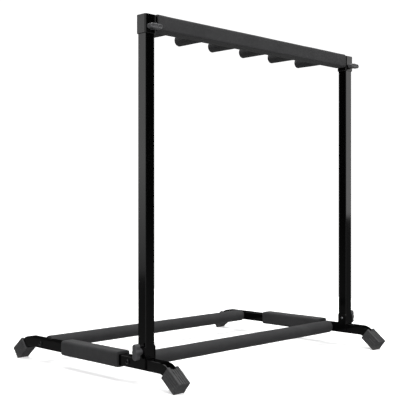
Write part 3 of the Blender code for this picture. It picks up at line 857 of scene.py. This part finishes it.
def screw_mesh(shank):
    """Low round head with a hexagon socket on a plain shank, Z out of the rail."""
    head, high, rim = SCREW_HEAD_RADIUS, SCREW_HEAD_HEIGHT, 0.0009
    thread = 0.0030
    steps = 36
    levels = [(0.0024, -shank), (thread, -shank + 0.0006), (thread, -0.0002), (0.0034, 0.0),
              (head - 0.0002, 0.0), (head, 0.0002), (head, rim)]
    for i in range(1, 6):
        a = radians(90 * i / 6)
        levels.append((head * (0.35 + 0.65 * cos(a)), rim + (high - rim) * sin(a)))
    rows = [ring(circle(radius, steps), z) for radius, z in levels]
    hexagon = []
    for i in range(steps):
        a = 2 * pi * i / steps
        r = 0.0020 * cos(pi / 6) / cos((a % (pi / 3)) - pi / 6)
        hexagon.append((r * cos(a), r * sin(a)))
    rows += [[(x * 1.08, y * 1.08, high) for x, y in hexagon],
             ring(hexagon, high - 0.0002), ring(hexagon, high - 0.0020)]
    return mesh_from(loft(rows), "screw")


def build_screws():
    for end, _ in ENDS:
        for side, sign in SIDES:
            node = f"cross_screw_{end}_{side}"
            low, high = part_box(node)
            face = (high.x - SCREW_HEAD_HEIGHT) if sign > 0 else (low.x + SCREW_HEAD_HEIGHT)
            centre = (low + high) / 2
            mesh = screw_mesh(high.x - low.x - SCREW_HEAD_HEIGHT)
            mesh.transform(along_x((face, centre.y, centre.z), sign))
            add(f"screw_{end}_{side}", soften(mesh, SCREW_SHARP), OXIDE, "base", "black_steel", node)


# ---- studio --------------------------------------------------------------------------------

CAMERA_AT = (1.294, 1.282, 0.331)
FOCAL = 74.88


def build_camera():
    lens = bpy.data.cameras.new("camera")
    lens.lens = FOCAL
    lens.sensor_width = 36.0
    lens.shift_y = 0.005
    lens.clip_start, lens.clip_end = 0.05, 100.0
    camera = bpy.data.objects.new("camera", lens)
    camera.location = CAMERA_AT
    camera.rotation_euler = (pi / 2, 0, radians(135))
    bpy.context.scene.collection.objects.link(camera)
    bpy.context.scene.camera = camera


def emitter(name, strength, fade=None):
    """Plain white light. fade is a low and a high Z, and the share of it left at the low one."""
    material = bpy.data.materials.new(name)
    material.use_nodes = True
    tree = material.node_tree
    tree.nodes.clear()
    out = tree.nodes.new("ShaderNodeOutputMaterial")
    glow = tree.nodes.new("ShaderNodeEmission")
    glow.inputs["Strength"].default_value = strength
    tree.links.new(glow.outputs[0], out.inputs["Surface"])
    if fade is not None:
        low, high, share = fade
        place = tree.nodes.new("ShaderNodeTexCoord")
        split = tree.nodes.new("ShaderNodeSeparateXYZ")
        ramp = tree.nodes.new("ShaderNodeMapRange")
        tree.links.new(place.outputs["Object"], split.inputs[0])
        tree.links.new(split.outputs["Z"], ramp.inputs["Value"])
        set_range(ramp, low, high, share * strength, strength)
        tree.links.new(ramp.outputs["Result"], glow.inputs["Strength"])
    return material


def softbox(name, centre, facing, width, low, high, strength, fade=None):
    """Upright light panel turned to a point on the rack. It lights but is hidden and shadowless."""
    toward = (Vector(facing) - Vector(centre)).to_3d().normalized()
    across = Vector((-toward.y, toward.x, 0)) * width / 2
    left, right = Vector((*centre, 0)) - across, Vector((*centre, 0)) + across
    up_low, up_high = Vector((0, 0, low)), Vector((0, 0, high))
    corners = [left + up_low, right + up_low, right + up_high, left + up_high]
    mesh = bpy.data.meshes.new(name)
    mesh.from_pydata([tuple(c) for c in corners], [], [(0, 1, 2, 3)])
    mesh.materials.append(emitter(f"light_{name}", strength, fade))
    panel = bpy.data.objects.new(name, mesh)
    bpy.context.scene.collection.objects.link(panel)
    panel.visible_camera = False
    panel.visible_shadow = False


def area(name, at, aim, wide, power, glossy=True):
    lamp = bpy.data.lights.new(name, "AREA")
    lamp.shape = "RECTANGLE"
    lamp.size, lamp.size_y = wide
    lamp.energy = power
    item = bpy.data.objects.new(name, lamp)
    item.location = at
    item.rotation_euler = (Vector(aim) - Vector(at)).to_track_quat("-Z", "Y").to_euler()
    item.visible_camera = False
    item.visible_glossy = glossy
    bpy.context.scene.collection.objects.link(item)


def build_world():
    """White behind everything the camera sees; reflections see a dark room over a dim floor."""
    world = bpy.data.worlds.new("studio")
    bpy.context.scene.world = world
    world.use_nodes = True
    tree = world.node_tree
    tree.nodes.clear()
    out = tree.nodes.new("ShaderNodeOutputWorld")
    mix = tree.nodes.new("ShaderNodeMixShader")
    room = tree.nodes.new("ShaderNodeBackground")
    white = tree.nodes.new("ShaderNodeBackground")
    white.inputs["Color"].default_value = (1, 1, 1, 1)
    white.inputs["Strength"].default_value = 1.1
    place = tree.nodes.new("ShaderNodeTexCoord")
    split = tree.nodes.new("ShaderNodeSeparateXYZ")
    ramp = tree.nodes.new("ShaderNodeValToRGB")
    half = tree.nodes.new("ShaderNodeMapRange")
    half.inputs["From Min"].default_value = -1.0
    tree.links.new(place.outputs["Generated"], split.inputs[0])
    tree.links.new(split.outputs["Z"], half.inputs["Value"])
    tree.links.new(half.outputs["Result"], ramp.inputs["Fac"])
    stops = ((0.0, 0.8), (0.25, 0.42), (0.415, 0.13), (0.485, 0.035), (0.5, 0.012), (1.0, 0.0))
    ramp.color_ramp.elements[0].position = stops[0][0]
    ramp.color_ramp.elements[1].position = stops[-1][0]
    for at, _ in stops[1:-1]:
        ramp.color_ramp.elements.new(at)
    for element, (_, level) in zip(ramp.color_ramp.elements, stops):
        element.color = (level, level, level, 1)
    tree.links.new(ramp.outputs["Color"], room.inputs["Color"])
    rays = tree.nodes.new("ShaderNodeLightPath")
    tree.links.new(rays.outputs["Is Camera Ray"], mix.inputs["Fac"])
    tree.links.new(room.outputs[0], mix.inputs[1])
    tree.links.new(white.outputs[0], mix.inputs[2])
    tree.links.new(mix.outputs[0], out.inputs["Surface"])


def build_floor():
    mesh = bpy.data.meshes.new("floor")
    far = 1.1
    corners = [(-far, -far, 0), (far, -far, 0), (far, far, 0), (-far, far, 0)]
    mesh.from_pydata(corners, [], [(0, 1, 2, 3)])
    material = bpy.data.materials.new("pale_floor")
    material.use_nodes = True
    shader = material.node_tree.nodes["Principled BSDF"]
    shader.inputs["Base Color"].default_value = (0.80, 0.80, 0.80, 1)
    shader.inputs["Emission Color"].default_value = (1, 1, 1, 1)
    shader.inputs["Emission Strength"].default_value = 0.45
    shader.inputs["Roughness"].default_value = 0.9
    shader.inputs["Specular IOR Level"].default_value = 0.0
    mesh.materials.append(material)
    floor = bpy.data.objects.new("floor", mesh)
    bpy.context.scene.collection.objects.link(floor)
    floor.visible_glossy = False
    floor.visible_diffuse = False


def build_studio():
    build_world()
    build_floor()
    softbox("panel_side", centre=(3.15, -3.26), facing=(0.3160, 0.157), width=0.7,
            low=-0.187, high=2.4, strength=1.34, fade=(-0.143, 0.629, 0.34))
    softbox("panel_back", centre=(-1.54, 1.02), facing=(-0.3055, 0.167), width=1.2,
            low=-0.4, high=1.7, strength=1.49, fade=(0.262, 0.280, 0.07))
    softbox("strip_rear_corner", centre=(2.75, 1.9), facing=(0.3160, 0.1675), width=3.0,
            low=-0.6, high=2.2, strength=1.25)
    area("overhead", at=(0.0, 0.3, 3.0), aim=(0, 0, 0), wide=(3.2, 3.2), power=150)
    rack = (0, 0, 0.35)
    area("fill_rear", at=(0.6, 2.8, 1.3), aim=rack, wide=(2.4, 2.0), power=54, glossy=False)
    area("fill_side", at=(2.8, 0.2, 0.9), aim=rack, wide=(2.0, 1.4), power=32, glossy=False)
    area("fill_front", at=(-1.2, -2.6, 1.3), aim=rack, wide=(2.4, 2.0), power=25, glossy=False)
    bpy.context.scene.view_settings.view_transform = "Standard"
    bpy.context.scene.view_settings.look = "None"


# ---- everything ------------------------------------------------------------------------------

dress_steel()
build_sockets()
build_foam()
build_boots()
build_knobs()
build_screws()
build_camera()
build_studio()

bpy.context.view_layer.update()
